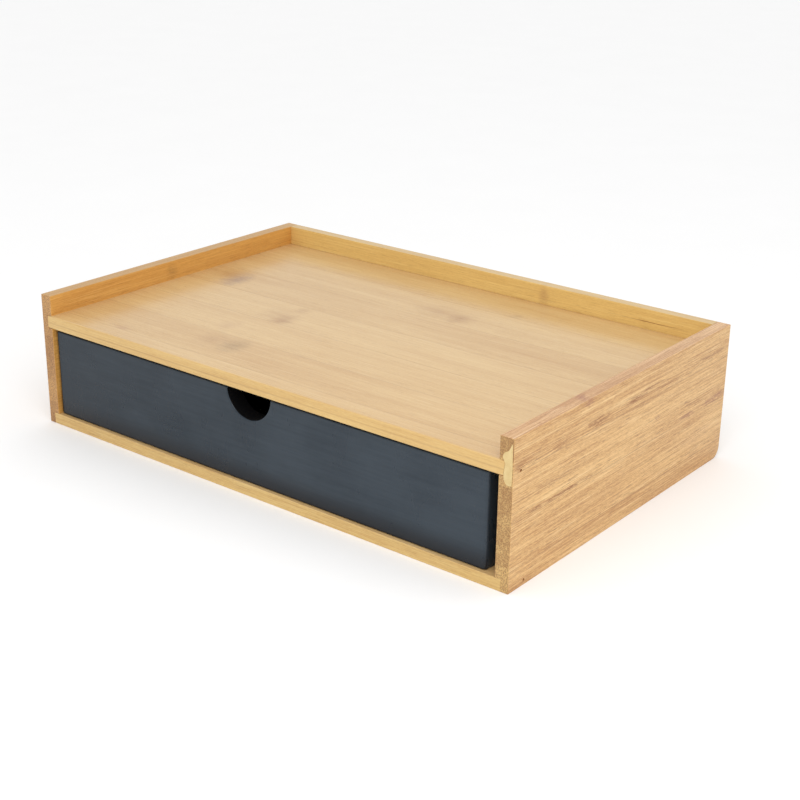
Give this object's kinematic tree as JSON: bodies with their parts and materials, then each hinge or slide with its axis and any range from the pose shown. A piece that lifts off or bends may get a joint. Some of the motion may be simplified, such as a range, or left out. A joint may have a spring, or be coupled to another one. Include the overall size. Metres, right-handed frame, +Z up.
{
  "type": "desktop drawer organiser",
  "caption": "Free-standing bamboo desk organiser: a shallow tray with raised side and rear edges over one dark sliding drawer with a half-round finger notch.",
  "frame": {"origin": "centre of the underside, on the surface that the organiser stands on", "axes": "+X to the right of someone facing the drawer, +Y towards the back, so the drawer opens towards -Y, and +Z up"},
  "size_m": [0.25, 0.16, 0.06],
  "materials": {
    "bamboo_side": "satin clear varnish on glued bamboo strips, grain front to back",
    "bamboo_back": "satin clear varnish on glued bamboo strips, grain left to right",
    "bamboo_tray": "satin clear varnish on glued bamboo strips, grain left to right",
    "bamboo_bottom": "satin clear varnish on glued bamboo strips, grain left to right",
    "putty": "sanded wood putty, matt",
    "brad_steel": "punched brad heads, slightly darkened",
    "drawer_paint": "dark slate grey paint on board, satin",
    "brad_painted": "brad heads under the drawer's paint"
  },
  "bodies": {
    "case": {"left_side_panel": "bamboo_side", "right_side_panel": "bamboo_side", "back_panel": "bamboo_back", "tray_shelf": "bamboo_tray", "bottom_panel": "bamboo_bottom", "joint_filler": "putty", "brad_left_shelf_front": "brad_steel", "brad_left_shelf_rear": "brad_steel", "brad_left_bottom_front": "brad_steel", "brad_left_bottom_rear": "brad_steel", "brad_left_back_lower": "brad_steel", "brad_left_back_upper": "brad_steel", "brad_right_shelf_front": "brad_steel", "brad_right_shelf_rear": "brad_steel", "brad_right_bottom_front": "brad_steel", "brad_right_bottom_rear": "brad_steel", "brad_right_back_lower": "brad_steel", "brad_right_back_upper": "brad_steel"},
    "drawer": {"drawer_front": "drawer_paint", "drawer_left_side": "drawer_paint", "drawer_right_side": "drawer_paint", "drawer_back": "drawer_paint", "drawer_bottom": "drawer_paint", "drawer_brad_left_front_lower": "brad_painted", "drawer_brad_left_front_upper": "brad_painted", "drawer_brad_left_rear_lower": "brad_painted", "drawer_brad_left_rear_upper": "brad_painted", "drawer_brad_right_front_lower": "brad_painted", "drawer_brad_right_front_upper": "brad_painted", "drawer_brad_right_rear_lower": "brad_painted", "drawer_brad_right_rear_upper": "brad_painted"}
  },
  "joints": [
    {"name": "drawer_slide", "type": "slide", "parent": "case", "child": "drawer", "axis": [0, -1, 0], "range_m": [0, 0.125]}
  ]
}
